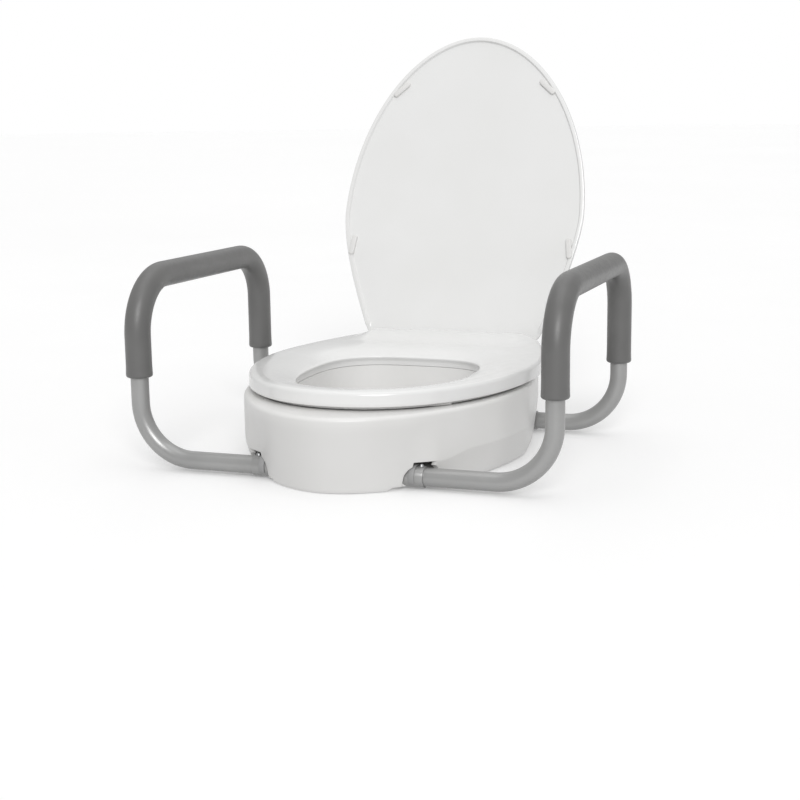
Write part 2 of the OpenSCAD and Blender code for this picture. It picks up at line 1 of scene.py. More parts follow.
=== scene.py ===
"""Raised toilet seat with tube arms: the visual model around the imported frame. Metres, +Z up, front -Y."""
import json
import math

import bmesh
import bpy
import numpy as np
from mathutils import Matrix, Vector


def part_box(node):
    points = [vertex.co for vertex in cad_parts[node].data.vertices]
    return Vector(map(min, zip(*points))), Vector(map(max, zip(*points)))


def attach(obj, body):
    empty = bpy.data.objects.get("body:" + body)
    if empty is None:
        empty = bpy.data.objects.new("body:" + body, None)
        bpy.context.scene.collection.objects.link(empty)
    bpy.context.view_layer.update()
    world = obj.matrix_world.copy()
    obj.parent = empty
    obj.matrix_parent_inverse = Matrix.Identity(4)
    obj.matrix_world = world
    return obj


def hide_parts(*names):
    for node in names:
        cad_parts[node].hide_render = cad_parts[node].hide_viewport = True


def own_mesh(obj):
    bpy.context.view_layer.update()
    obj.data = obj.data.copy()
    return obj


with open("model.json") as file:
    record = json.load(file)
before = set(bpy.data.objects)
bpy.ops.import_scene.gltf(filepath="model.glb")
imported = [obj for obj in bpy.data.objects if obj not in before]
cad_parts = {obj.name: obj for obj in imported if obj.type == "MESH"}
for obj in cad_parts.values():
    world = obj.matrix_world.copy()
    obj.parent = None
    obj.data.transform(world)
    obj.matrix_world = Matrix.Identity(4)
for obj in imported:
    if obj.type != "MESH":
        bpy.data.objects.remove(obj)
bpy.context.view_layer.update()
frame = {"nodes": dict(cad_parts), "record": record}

MM = 0.001
SIDES = {"left": -1, "right": 1}
RING = 384                      # points round the large outlines

# Sizes from the frame -------------------------------------------------------------------------

riser_lo, riser_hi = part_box("riser_shell")
seat_lo, seat_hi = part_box("seat_ring")
pin_lo, pin_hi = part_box("hinge_pin_right")

hinge_y = (pin_lo.y + pin_hi.y) / 2
hinge_z = (pin_lo.z + pin_hi.z) / 2
post_x = (pin_lo.x + pin_hi.x) / 2
deck_z = riser_hi.z
seat_z = seat_lo.z
seat_t = 19 * MM
seat_top = seat_z + seat_t
lid_open = math.radians(109.5)

# Sizes that the riser, the seat and the arms share --------------------------------------------

hole_wide_y = -262 * MM          # where the opening is widest
hole_front_n, hole_rear_n = 2.3, 3
leg_z = 14.5 * MM                # height of the tubes where they enter the riser
front_leg_y = -443 * MM
rear_leg_y = -94 * MM


# Outlines ---------------------------------------------------------------------------------------

def resample(loop, count):
    """Evenly spaced points round a closed loop."""
    loop = np.vstack([loop, loop[:1]])
    along = np.r_[0, np.cumsum(np.hypot(*np.diff(loop, axis=0).T))]
    at = np.linspace(0, along[-1], count, endpoint=False)
    return np.c_[np.interp(at, along, loop[:, 0]), np.interp(at, along, loop[:, 1])]


def egg(w, tip, wide, n, rear_w, rear, power, corner, count=RING):
    """An outline in plan: superellipse front, narrowing sides, rounded rear corners."""
    t = np.linspace(0, math.pi, 800)[1:-1]
    front = np.c_[-np.sign(np.cos(t)) * w * np.abs(np.cos(t)) ** (2 / n),
                  wide + (tip - wide) * np.sin(t) ** (2 / n)]
    slope = math.atan((w - rear_w) * power / (rear - wide))
    y_corner = rear - corner + corner * math.sin(slope)
    y = np.linspace(wide, y_corner, 300)
    x = w - (w - rear_w) * ((y - wide) / (rear - wide)) ** power
    a = np.linspace(slope, math.pi / 2, 80)[1:]
    turn = np.c_[x[-1] + corner * (np.cos(a) - math.cos(slope)),
                 y_corner + corner * (np.sin(a) - math.sin(slope))]
    right = np.vstack([np.c_[x, y], turn])
    left = right[::-1] * (-1, 1)
    return resample(np.vstack([front, right, left]), count)


def oval(w, front, wide, rear, front_n, rear_n, count=6000):
    """The outline of a hole: two half superellipses that meet at the widest line."""
    t = np.linspace(0, 2 * math.pi, count, endpoint=False)
    c, s = np.cos(t), np.sin(t)
    n = np.where(s > 0, rear_n, front_n)
    reach = np.where(s > 0, rear - wide, wide - front)
    x = np.sign(c) * w * np.abs(c) ** (2 / n)
    return np.c_[x, wide + reach * np.sign(s) * np.abs(s) ** (2 / n)]


def normals(loop):
    """Outward unit normals of a counter-clockwise loop."""
    along = np.roll(loop, -1, axis=0) - np.roll(loop, 1, axis=0)
    out = np.c_[along[:, 1], -along[:, 0]]
    return out / np.linalg.norm(out, axis=1)[:, None]


def facing(hole, outer, centre):
    """The points of a hole's outline that lie on the rays from the centre to the outer points."""
    rel = hole - centre
    angle = np.arctan2(rel[:, 1], rel[:, 0])
    order = np.argsort(angle)
    out = outer - centre
    want = np.arctan2(out[:, 1], out[:, 0])
    radius = np.interp(want, angle[order], np.hypot(*rel[order].T), period=2 * math.pi)
    return centre + radius[:, None] * np.c_[np.cos(want), np.sin(want)]


def smooth(a, b, x):
    """0 below a, 1 above b and a smooth step between them."""
    t = np.clip((x - a) / (b - a), 0, 1)
    return t * t * (3 - 2 * t)


class Ring:
    """An outer outline and a hole matched point by point, and the rings of points between them."""

    def __init__(self, outer, hole=None, centre=None):
        self.outer = outer
        self.out_n = normals(outer)
        if hole is not None:
            self.hole = facing(hole, outer, np.array(centre))
            self.hole_n = normals(self.hole)
            self.width = np.linalg.norm(self.outer - self.hole, axis=1)

    def lift(self, plan, z):
        return np.c_[plan, np.broadcast_to(z, len(plan))]

    def at_outer(self, d, z):
        return self.lift(self.outer - self.out_n * np.broadcast_to(d, len(self.outer))[:, None], z)

    def at_hole(self, d, z):
        return self.lift(self.hole + self.hole_n * np.broadcast_to(d, len(self.hole))[:, None], z)

    def between(self, t, a, b):
        return a * (1 - t) + b * t


# Mesh helpers -----------------------------------------------------------------------------------

def loft(rings, wrap=False, caps=False):
    """Quads between rings of equal length. wrap joins the last ring to the first."""
    n = len(rings[0])
    verts = np.vstack(rings)
    faces = []
    count = len(rings) if wrap else len(rings) - 1
    for k in range(count):
        a, b = k * n, ((k + 1) % len(rings)) * n
        faces += [(a + i, a + (i + 1) % n, b + (i + 1) % n, b + i) for i in range(n)]
    if caps:
        faces.append(tuple(range(n))[::-1])
        faces.append(tuple(range((len(rings) - 1) * n, len(rings) * n)))
    return verts, faces


def fan(rings, first, last):
    """A loft closed at both ends by a fan round a single point."""
    verts, faces = loft(rings)
    n = len(rings[0])
    verts = np.vstack([verts, [first], [last]])
    base, a, b = (len(rings) - 1) * n, len(verts) - 2, len(verts) - 1
    faces += [((i + 1) % n, i, a) for i in range(n)]
    faces += [(base + i, base + (i + 1) % n, b) for i in range(n)]
    return verts, faces


def make(name, verts, faces):
    """An object in the scene, with its faces turned outward."""
    mesh = bpy.data.meshes.new(name)
    mesh.from_pydata([tuple(v) for v in verts], [], faces)
    mesh.validate()
    bm = bmesh.new()
    bm.from_mesh(mesh)
    bmesh.ops.recalc_face_normals(bm, faces=bm.faces)
    bm.to_mesh(mesh)
    bm.free()
    obj = bpy.data.objects.new(name, mesh)
    bpy.context.scene.collection.objects.link(obj)
    return obj


def bake_modifiers(obj):
    """Replaces the mesh by what its modifiers make of it."""
    depsgraph = bpy.context.evaluated_depsgraph_get()
    mesh = bpy.data.meshes.new_from_object(obj.evaluated_get(depsgraph))
    old = obj.data
    obj.modifiers.clear()
    obj.data = mesh
    bpy.data.meshes.remove(old)


def combine(obj, other, operation):
    """Cuts other from obj or joins it to obj, and removes other."""
    mod = obj.modifiers.new("combine", "BOOLEAN")
    mod.operation = operation
    mod.solver = "EXACT"
    mod.object = other
    bake_modifiers(obj)
    bpy.data.objects.remove(other)


def round_edges(obj, width, segments, angle):
    """Rounds the edges that turn by more than the angle, in degrees."""
    mod = obj.modifiers.new("round", "BEVEL")
    mod.width = width
    mod.segments = segments
    mod.limit_method = "ANGLE"
    mod.angle_limit = math.radians(angle)
    mod.harden_normals = False
    bake_modifiers(obj)


def shade(obj, angle=40):
    obj.data.polygons.foreach_set("use_smooth", [True] * len(obj.data.polygons))
    obj.data.set_sharp_from_angle(angle=math.radians(angle))


def dress(obj, material, slot, body, *nodes):
    """Gives a finished piece its material and the body it rides on, and hides the nodes it replaces. The
    slot is not used.
    """
    obj.data.materials.clear()
    obj.data.materials.append(material)
    if nodes:
        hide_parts(*nodes)
    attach(obj, body)
    return obj


def extrude_x(name, profile, x0, x1):
    """A closed (y, z) profile extruded along X."""
    rings = [[(x, y, z) for y, z in profile] for x in (x0, x1)]
    verts, faces = loft([np.array(r) for r in rings], caps=True)
    return make(name, verts, faces)


def box_mesh(name, lo, hi):
    return extrude_x(name, [(lo[1], lo[2]), (hi[1], lo[2]), (hi[1], hi[2]), (lo[1], hi[2])], lo[0], hi[0])


def circle(r, cy, cz, count=64, start=0.0, turn=2 * math.pi):
    a = start + turn * np.arange(count) / count
    return [(cy + r * math.cos(t), cz + r * math.sin(t)) for t in a]


# Materials --------------------------------------------------------------------------------------

def noise(tree, scale, detail=3.0, rough=0.55):
    """A noise that stays with the piece as it moves."""
    place = tree.nodes.get("place") or tree.nodes.new("ShaderNodeTexCoord")
    place.name = "place"
    node = tree.nodes.new("ShaderNodeTexNoise")
    node.inputs["Scale"].default_value = scale
    node.inputs["Detail"].default_value = detail
    node.inputs["Roughness"].default_value = rough
    tree.links.new(place.outputs["Object"], node.inputs["Vector"])
    return node.outputs["Fac"]


def ranged(tree, value, low, high):
    """Spreads the middle of a noise's values over low to high."""
    node = tree.nodes.new("ShaderNodeMapRange")
    node.inputs["From Min"].default_value = 0.3
    node.inputs["From Max"].default_value = 0.7
    node.inputs["To Min"].default_value = low
    node.inputs["To Max"].default_value = high
    tree.links.new(value, node.inputs["Value"])
    return node.outputs["Result"]


def mixed(tree, factor, dark, light):
    """A colour between dark and light."""
    node = tree.nodes.new("ShaderNodeMix")
    node.data_type = "RGBA"
    node.inputs["A"].default_value = (*dark, 1)
    node.inputs["B"].default_value = (*light, 1)
    tree.links.new(factor, node.inputs["Factor"])
    return node.outputs["Result"]


def bump(tree, height, strength, distance, under=None):
    """A bump over the one given as under."""
    node = tree.nodes.new("ShaderNodeBump")
    node.inputs["Strength"].default_value = strength
    node.inputs["Distance"].default_value = distance
    tree.links.new(height, node.inputs["Height"])
    if under is not None:
        tree.links.new(under, node.inputs["Normal"])
    return node.outputs["Normal"]


def surface(name, dark, light, rough, metallic=0.0, blotch=6.0, grain=900.0, grain_depth=0.00002,
            grain_strength=0.3, ripple=None, specular=0.5, coat=0.0, sheen=0.0):
    """A material whose colour drifts from dark to light, with a fine grain and varied roughness."""
    material = bpy.data.materials.new(name)
    material.use_nodes = True
    tree = material.node_tree
    shader = tree.nodes["Principled BSDF"]
    shader.inputs["Metallic"].default_value = metallic
    shader.inputs["Specular IOR Level"].default_value = specular
    shader.inputs["Coat Weight"].default_value = coat
    shader.inputs["Coat Roughness"].default_value = 0.12
    shader.inputs["Sheen Weight"].default_value = sheen
    drift = noise(tree, blotch, 2.0)
    tree.links.new(mixed(tree, ranged(tree, drift, 0.0, 1.0), dark, light), shader.inputs["Base Color"])
    fine = noise(tree, grain, 2.0)
    tree.links.new(ranged(tree, noise(tree, blotch * 9), *rough), shader.inputs["Roughness"])
    normal = bump(tree, fine, grain_strength, grain_depth)
    if ripple:
        normal = bump(tree, noise(tree, ripple[0], 1.0), ripple[1], ripple[2], normal)
    tree.links.new(normal, shader.inputs["Normal"])
    return material


def grey(value):
    return (value, value, value)


# Satin moulded plastic with the faint waviness of its mould
riser_white = surface("riser_white", (0.775, 0.77, 0.755), (0.81, 0.805, 0.795), (0.30, 0.38), blotch=9,
                      grain=1400, ripple=(140, 0.10, 0.0002))
# Smooth glossy plastic
seat_white = surface("seat_white", (0.80, 0.80, 0.79), (0.83, 0.83, 0.825), (0.16, 0.22), blotch=7,
                     grain=1800, grain_strength=0.12, ripple=(90, 0.06, 0.0002), coat=0.2)
bumper_white = surface("bumper_white", (0.72, 0.715, 0.70), (0.77, 0.765, 0.755), (0.45, 0.55), grain=2500)
nut_white = surface("nut_white", grey(0.70), grey(0.75), (0.4, 0.5), grain=2000)
rubber_dark = surface("rubber_dark", grey(0.022), grey(0.032), (0.6, 0.75), grain=1800, grain_strength=0.5)
steel = surface("steel", (0.40, 0.405, 0.41), (0.48, 0.485, 0.49), (0.34, 0.46), metallic=1.0,
                blotch=60, grain=3000)
collar_grey = surface("collar_grey", grey(0.30), grey(0.35), (0.42, 0.52), grain=2200,
                      grain_strength=0.4)
# Satin grey tube
tube_grey = surface("tube_grey", (0.35, 0.35, 0.347), (0.39, 0.39, 0.386), (0.28, 0.36), metallic=0.4,
                    blotch=14, grain=4200, grain_depth=0.00003, grain_strength=0.35)
# Closed-cell foam with a smooth, slightly uneven skin
foam_grey = surface("foam_grey", (0.130, 0.129, 0.127), (0.150, 0.149, 0.146), (0.35, 0.45), blotch=22,
                    grain=2600, grain_depth=0.00006, grain_strength=0.4, ripple=(420, 0.12, 0.0001),
                    specular=0.62, sheen=0.05)
MATERIALS = {"riser_white": riser_white, "seat_white": seat_white, "bumper_white": bumper_white,
             "nut_white": nut_white, "rubber_dark": rubber_dark, "steel": steel, "collar_grey": collar_grey,
             "tube_grey": tube_grey, "foam_grey": foam_grey}


# Riser --------------------------------------------------------------------------------------------

notch_r = 15.5 * MM
notch_slot_w = 9 * MM            # half width of the slot over a notch
notch_slot_z = 32.5 * MM
notch_in, notch_out = 22 * MM, 40 * MM
notch_x = {front_leg_y: 102 * MM, rear_leg_y: 146 * MM}


def notch_cutter(leg_y, mouth, sign):
    """An arch over the tube's axis with a flat slot above it for the button, open at the bottom."""
    steps = 48
    arch = circle(notch_r, leg_y, leg_z, steps + 1, 0.0, math.pi * (steps + 1) / steps)
    arch = [p for p in arch if abs(p[0] - leg_y) > notch_slot_w]
    half = len(arch) // 2
    foot_z = leg_z + math.sqrt(notch_r ** 2 - notch_slot_w ** 2)
    slot = [(leg_y + notch_slot_w, foot_z), (leg_y + notch_slot_w, notch_slot_z),
            (leg_y - notch_slot_w, notch_slot_z), (leg_y - notch_slot_w, foot_z)]
    low = -5 * MM
    profile = [(leg_y + notch_r, low)] + arch[:half] + slot + arch[half:] + [(leg_y - notch_r, low)]
    x0, x1 = sorted((sign * (mouth - notch_in), sign * (mouth + notch_out)))
    return extrude_x("notch", profile, x0, x1)


def riser_shell():
    outer = egg(riser_hi.x - 2.5 * MM, riser_lo.y, -250 * MM, 1.85,
                riser_hi.x - 63 * MM, riser_hi.y, 1.25, 35 * MM)
    hole = oval(111.4 * MM, -421.4 * MM, hole_wide_y, -147.6 * MM, hole_front_n, hole_rear_n)
    ring = Ring(outer, hole, (0, hole_wide_y))
    y = ring.outer[:, 1]
    side = smooth(-0.462, -0.430, y)
    crease = 32 * MM + 8 * MM * smooth(-0.430, -0.385, y)
    step = 3.5 * MM * smooth(-0.480, -0.474, y) * (1 - smooth(-0.440, -0.430, y))
    foot = 1.2 * MM + step + 1.5 * MM * smooth(-0.43, -0.36, y)
    wall = 4 * MM
    curve = 5 * MM                   # rounding between the wall and the deck
    edge_r = 0.8 * MM                # rounding between the deck and the hole
    soft = 1.2 * MM                  # rings this far above and below keep the crease narrow
    base_top = 5.2 * MM

    def draw_in(z):
        """How far the wall leans in below the deck at the tip, and below the crease at the sides."""
        straight = 12 * MM * np.clip((80 * MM - z) / (80 * MM), 0, 1)
        bent = (10 * MM - 4 * MM * smooth(-0.330, -0.150, y)) * np.clip((crease - z) / crease, 0, 1)
        return straight * (1 - side) + bent * side

    heights = [foot + (crease - soft - foot) * k / 7 for k in range(8)]
    heights += [crease, crease + soft]
    top = deck_z - curve
    heights += [crease + soft + (top - crease - soft) * k / 8 for k in range(1, 9)]
    rings = [ring.at_outer(draw_in(foot) + 1.0 * MM, foot - 0.2 * MM)]
    rings += [ring.at_outer(draw_in(z), z) for z in heights]
    for k in range(1, 9):
        a = math.radians(90) * k / 8
        rings.append(ring.at_outer(curve * (1 - math.cos(a)), top + curve * math.sin(a)))
    edge = ring.at_outer(curve, deck_z)
    lip = ring.at_hole(edge_r, deck_z)
    rings += [ring.between(t, edge, lip) for t in (0.2, 0.4, 0.6, 0.8, 1.0)]
    for k in range(1, 6):
        a = math.radians(90) * k / 5
        rings.append(ring.at_hole(edge_r * (1 - math.sin(a)), deck_z - edge_r * (1 - math.cos(a))))
    rings += [ring.at_hole(0, z) for z in (60 * MM, 30 * MM, 6 * MM)]
    rings += [ring.at_hole(edge_r, base_top), ring.at_hole(wall, base_top)]
    rings.append(ring.at_hole(wall, deck_z - wall))
    under = ring.at_outer(curve, deck_z - wall)
    inner_lip = rings[-1]
    rings += [ring.between(t, inner_lip, under) for t in (0.33, 0.66, 1.0)]
    rings += [ring.at_outer(draw_in(z) + wall, z) for z in reversed(heights[1:])]
    rings.append(ring.at_outer(draw_in(foot) + wall, foot))
    shell = make("riser_casing", *loft(rings, wrap=True))
    for sign in SIDES.values():
        for leg_y, mouth in notch_x.items():
            combine(shell, notch_cutter(leg_y, mouth, sign), "DIFFERENCE")
    round_edges(shell, 0.7 * MM, 2, 55)
    shade(shell, 35)
    return dress(shell, riser_white, "riser_white", "root", "riser_shell")


# Seat ---------------------------------------------------------------------------------------------

def hump(x, y):
    """How far the seat's rear rises above the ring, in front of the open lid."""
    return 8 * MM * smooth(-0.102, -0.044, y) * (1 - smooth(0.102, 0.134, np.abs(x)))


def lid_rise(y):
    """How far the closed lid's rear end is raised to clear the seat's hump."""
    return 8 * MM * smooth(-0.175, -0.042, y)


def seat_ring():
    outer = egg(seat_hi.x + 1 * MM, seat_lo.y, -215 * MM, 2.11,
                seat_hi.x - 51 * MM, hinge_y + 8 * MM, 1.55, 22 * MM)
    hole = oval(107 * MM, -417 * MM, hole_wide_y, -152 * MM, hole_front_n, hole_rear_n)
    ring = Ring(outer, hole, (0, hole_wide_y))
    top = seat_top
    rounding = 5.5 * MM              # rounding of the outer upper edge
    crown = 0.6 * MM                 # how far the ring's upper face bulges
    span = np.minimum(52 * MM, 0.66 * ring.width)  # width of the slope down to the hole
    rings = [ring.at_outer(6 * MM, seat_z), ring.at_outer(2.0 * MM, seat_z)]
    rings += [ring.at_outer(0.6 * MM, seat_z + 0.7 * MM), ring.at_outer(0, seat_z + 2.5 * MM)]
    rings += [ring.at_outer(0, seat_z + z * MM) for z in (5, 8)]
    for k in range(0, 10):
        a = math.radians(86) * k / 9
        rings.append(ring.at_outer(rounding * (1 - math.cos(a)),
                                   top - 0.6 * MM - rounding + rounding * math.sin(a)))
    outer_edge = rings[-1]
    inner_edge = ring.at_hole(span, top - 0.4 * MM)
    for k in range(1, 20):
        t = k / 20
        mid = ring.between(t, outer_edge, inner_edge)
        mid[:, 2] += crown * math.sin(math.pi * t)
        rings.append(mid)
    # The slope down to the hole: the share of the span from the hole, and how far below the top
    slope = [(1.0, 0.4), (0.87, 0.75), (0.74, 1.4), (0.61, 2.3), (0.49, 3.5),
             (0.38, 4.9), (0.28, 6.4), (0.19, 7.9), (0.11, 9.3)]
    rings += [ring.at_hole(span * s, top - d * MM) for s, d in slope]
    # The edge of the hole and the wall under it: millimetres from the hole, and below the top
    rolled = [(2.6, 10.3), (1.4, 10.8), (0.6, 11.3), (0.15, 11.9), (0.0, 12.6),
              (0.3, 13.4), (1.2, 14.6), (2.4, 15.9), (3.4, 17.4), (4.0, 19.2)]
    rings += [ring.at_hole(s * MM, top - d * MM) for s, d in rolled]
    skirt = deck_z + 0.5 * MM           # the ring's inner wall reaches almost to the deck
    rings += [ring.at_hole(4.2 * MM, skirt + 0.4 * MM), ring.at_hole(4.6 * MM, skirt)]
    rings += [ring.at_hole(7.4 * MM, skirt), ring.at_hole(7.8 * MM, skirt + 0.4 * MM)]
    rings.append(ring.at_hole(8.4 * MM, seat_z + 3 * MM))
    low_in, low_out = rings[-1], ring.at_outer(15 * MM, seat_z + 3 * MM)
    rings += [ring.between(t, low_in, low_out) for t in (0.25, 0.5, 0.75, 1.0)]
    # The low rib round the underside: millimetres in from the edge, and below the ring
    rib = [(14.4, 3), (13.8, 3.6), (10.6, 3.6), (10, 3), (9.4, 0)]
    rings += [ring.at_outer(d * MM, seat_z - drop * MM) for d, drop in rib]
    for points in rings:
        share = smooth(seat_z + 5 * MM, top, points[:, 2])
        points[:, 2] += share * hump(points[:, 0], points[:, 1])
    seat = make("seat_ring_shape", *loft(rings, wrap=True))
    for sign in SIDES.values():
        x = sign * post_x
        slot, knuckle_end = 13.5 * MM, 26 * MM
        cutter = box_mesh("slot", (x - slot, hinge_y - 7 * MM, seat_z - 5 * MM),
                          (x + slot, hinge_y + 14 * MM, seat_z + 40 * MM))
        round_edges(cutter, 2 * MM, 4, 60)
        combine(seat, cutter, "DIFFERENCE")
        for a, b in ((-knuckle_end, -slot), (slot, knuckle_end)):
            knuckle = extrude_x("knuckle", circle(4.8 * MM, hinge_y, hinge_z, 48), x + a, x + b)
            combine(seat, knuckle, "UNION")
    round_edges(seat, 0.6 * MM, 2, 55)
    shade(seat, 35)
    return dress(seat, seat_white, "seat_white", "seat", "seat_ring")


def bar(length, width, z0, z1, curve):
    """A rounded bar: a stadium outline whose lower edge is rounded, as rings from z1 down to z0."""
    half = (length - width) / 2
    a = np.linspace(-math.pi / 2, math.pi / 2, 17)
    end = np.c_[half + width / 2 * np.cos(a), width / 2 * np.sin(a)]
    plan = np.vstack([end, -end])
    rings = [(0.0, z1), (0.0, z0 + curve)]
    for t in np.radians([22, 45, 67, 90]):
        rings.append((curve * (1 - math.cos(t)), z0 + curve * (1 - math.sin(t))))
    out = normals(plan)
    return [np.c_[plan - out * d, np.full(len(plan), z)] for d, z in rings]


def bumpers(name, places, length, width, z0, z1, curve, material, slot, body, node, turn=None):
    """Bumpers at (x, y, angle) and their mirror images, as one piece."""
    verts, faces = [], []
    rings = bar(length, width, z0, z1, curve)
    for sign in SIDES.values():
        for x, y, angle in places:
            c, s = math.cos(math.radians(angle)), math.sin(math.radians(angle))
            placed = [np.c_[sign * (r[:, 0] * c - r[:, 1] * s + x), r[:, 0] * s + r[:, 1] * c + y, r[:, 2]]
                      for r in rings]
            v, f = loft(placed, caps=True)
            base = sum(len(b) for b in verts)
            verts.append(v)
            faces += [tuple(base + i for i in face) for face in f]
    obj = make(name, np.vstack(verts), faces)
    if turn is not None:
        obj.data.transform(turn)
    shade(obj, 50)
    return dress(obj, material, slot, body, node)


# Lid ----------------------------------------------------------------------------------------------

def opened():
    """Turns the closed lid to its open place."""
    to_hinge = Matrix.Translation((0, hinge_y, hinge_z))
    return to_hinge @ Matrix.Rotation(-lid_open, 4, "X") @ to_hinge.inverted()


def lid_panel():
    outer = egg(180 * MM, hinge_y - 451 * MM, -204 * MM, 1.95,
                126 * MM, hinge_y - 1 * MM, 1.5, 16 * MM)
    ring = Ring(outer)
    under = hinge_z + 7.5 * MM
    thick = 4.5 * MM
    rim = 3 * MM * (1 - smooth(hinge_y - 0.020, hinge_y - 0.012, outer[:, 1]))
    middle = np.array([0, -0.225])

    def inward(t, d, z):
        plan = (ring.outer - ring.out_n * d) * (1 - t) + middle * t
        return ring.lift(plan, z)

    dome = 2.5 * MM
    top = under + thick
    spread = (0.04, 0.09, 0.16, 0.25, 0.36, 0.5, 0.66, 0.83)
    rings = [inward(t, 7.2 * MM, under) for t in spread[::-1]]
    rings.append(ring.at_outer(7.2 * MM, under))
    rings += [ring.at_outer(6.4 * MM, under - 0.25 * rim), ring.at_outer(5.8 * MM, under - 0.8 * rim)]
    rings += [ring.at_outer(5.2 * MM, under - rim), ring.at_outer(1.6 * MM, under - rim)]
    rings += [ring.at_outer(0.5 * MM, under - rim + 0.4 * MM), ring.at_outer(0, under - rim + 1.4 * MM)]
    rings += [ring.at_outer(0, top - 2.6 * MM), ring.at_outer(0.25 * MM, top - 1.5 * MM),
              ring.at_outer(0.9 * MM, top - 0.6 * MM), ring.at_outer(2.4 * MM, top)]
    rings += [inward(t, 2.4 * MM, top + dome * (1 - (1 - t) ** 3)) for t in spread]
    for points in rings:
        points[:, 2] += lid_rise(points[:, 1])
    lid = make("lid_shape", *fan(rings, (*middle, under), (*middle, top + dome)))
    ear_x, ear_half, ear_r = 9.75 * MM, 3.25 * MM, 5.5 * MM
    for sign in SIDES.values():
        for ear in (-ear_x, ear_x):
            x = sign * post_x + ear
            tip = [p for p in circle(ear_r, hinge_y, hinge_z, 48) if p[1] <= hinge_z]
            tip = sorted(tip, key=lambda p: -p[0])
            profile = [(hinge_y + 0.5 * MM, under + 10 * MM), (hinge_y + 5.0 * MM, hinge_z + 2 * MM)] + tip
            profile += [(hinge_y - ear_r, hinge_z + 2 * MM), (hinge_y - 5.0 * MM, under + 10 * MM)]
            combine(lid, extrude_x("ear", profile, x - ear_half, x + ear_half), "UNION")
    lid.data.transform(opened())
    shade(lid, 35)
    return dress(lid, seat_white, "seat_white", "lid", "lid_panel")


# Arms ---------------------------------------------------------------------------------------------

tube_r = 11.1 * MM
foam_r = 16.0 * MM
leg_x = 261 * MM
rest_z = 234 * MM
bend_r = 69 * MM
rear_bend_r = 60 * MM
tube_wall = 1.5 * MM
front_end_x, rear_end_x = 56 * MM, 98 * MM      # how far in the tube's ends reach
grip_front_z, grip_rear_z = 113.5 * MM, 99.4 * MM


def arc(centre, start, end, count):
    """Points on the quarter circle from centre + start to centre + end."""
    t = np.linspace(0, math.pi / 2, count)
    return np.array(centre) + np.outer(np.cos(t), start) + np.outer(np.sin(t), end)


def arm_line(front_x, rear_x, step=4 * MM):
    """The right arm's centre line from the front socket to the rear socket."""
    low = leg_z + bend_r
    turn = 40
    parts = [np.array([[front_x, front_leg_y, leg_z], [leg_x - bend_r, front_leg_y, leg_z]]),
             arc((leg_x - bend_r, front_leg_y, low), (0, 0, -bend_r), (bend_r, 0, 0), turn),
             arc((leg_x, front_leg_y + bend_r, rest_z - bend_r), (0, -bend_r, 0), (0, 0, bend_r), turn),
             arc((leg_x, rear_leg_y - rear_bend_r, rest_z - rear_bend_r),
                 (0, 0, rear_bend_r), (0, rear_bend_r, 0), turn),
             arc((leg_x - bend_r, rear_leg_y, low), (bend_r, 0, 0), (0, 0, -bend_r), turn),
             np.array([[rear_x, rear_leg_y, leg_z]])]
    line = np.vstack(parts)
    along = np.r_[0, np.cumsum(np.linalg.norm(np.diff(line, axis=0), axis=1))]
    at = np.linspace(0, along[-1], int(along[-1] / step))
    return np.column_stack([np.interp(at, along, line[:, k]) for k in range(3)])


def frames(line):
    """Two directions across the line at each point, carried along it without twist."""
    tangent = np.gradient(line, axis=0)
    tangent /= np.linalg.norm(tangent, axis=1)[:, None]
    side = np.cross(tangent[0], (1, 0, 0) if abs(tangent[0][2]) > 0.9 else (0, 0, 1))
    side /= np.linalg.norm(side)
    sides = [side]
    for t in tangent[1:]:
        side = sides[-1] - t * np.dot(sides[-1], t)
        sides.append(side / np.linalg.norm(side))
    sides = np.array(sides)
    return sides, np.cross(tangent, sides)


def tube_rings(line, radii, count=64):
    u, v = frames(line)
    a = np.linspace(0, 2 * math.pi, count, endpoint=False)
    return [line[i] + radii[i] * (np.outer(np.cos(a), u[i]) + np.outer(np.sin(a), v[i]))
            for i in range(len(line))]


def hollow_tube(name, line, outer, inner, count=64):
    rings = tube_rings(line, outer, count) + tube_rings(line, inner, count)[::-1]
    return make(name, *loft(rings, wrap=True))


def mirrored(obj, sign):
    if sign < 0:
        obj.data.transform(Matrix.Scale(-1, 4, (1, 0, 0)))
        obj.data.flip_normals()
    return obj


def arm_tube(side, sign):
    line = arm_line(front_end_x, rear_end_x)
    outer = np.full(len(line), tube_r)
    obj = hollow_tube(f"arm_tube_{side}_shape", line, outer, outer - tube_wall)
    mirrored(obj, sign)
    shade(obj, 40)
    return dress(obj, tube_grey, "tube_grey", f"arm_{side}", f"arm_tube_{side}")


